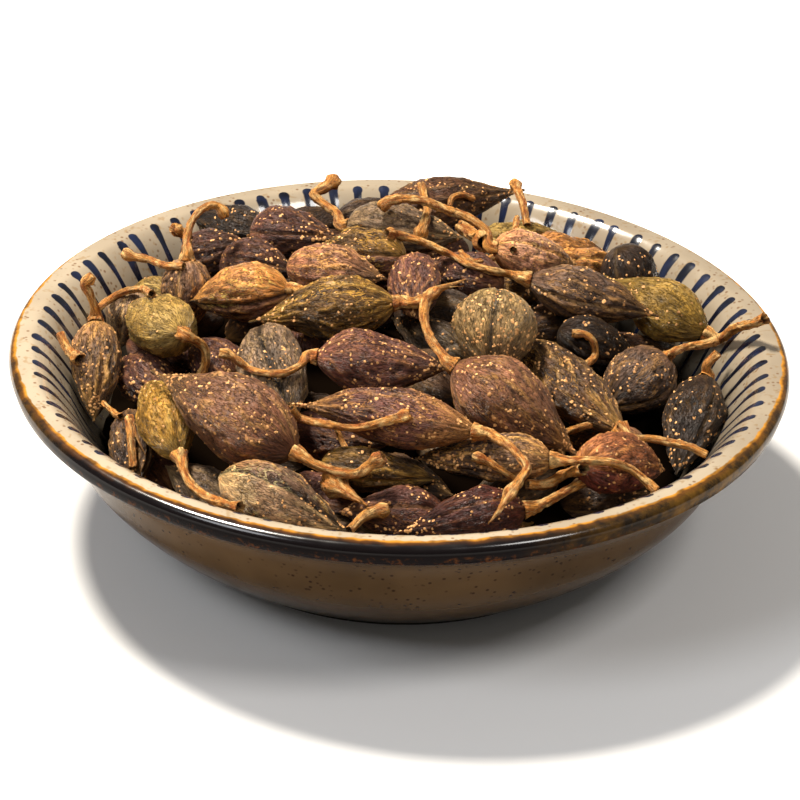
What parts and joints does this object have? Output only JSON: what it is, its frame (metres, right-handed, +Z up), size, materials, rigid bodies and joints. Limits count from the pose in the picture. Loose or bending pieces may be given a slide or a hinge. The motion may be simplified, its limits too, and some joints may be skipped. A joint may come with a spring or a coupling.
{
  "type": "dish of dried forsythia fruit",
  "caption": "Small round stoneware dish with a flared lip and radial brush strokes inside, heaped with dried forsythia fruit that still carry their stalks.",
  "frame": {"origin": "middle of the foot, on the surface that the dish stands on", "axes": "+Z up, +Y away from the picture's viewer, +X to the viewer's right"},
  "size_m": [0.114, 0.114, 0.0408],
  "materials": {
    "glaze": "glossy cream glaze with fine brown specks, dark blue brush strokes inside and a brown-black iron band over the lip",
    "fruit": "dry wrinkled skin, purple-brown to olive, with small pale raised dots and a low sheen",
    "stalk": "dry fibrous orange-tan stalk"
  },
  "bodies": {
    "root": {"dish": "glaze", "fruit_heap": "fruit"}
  },
  "joints": []
}
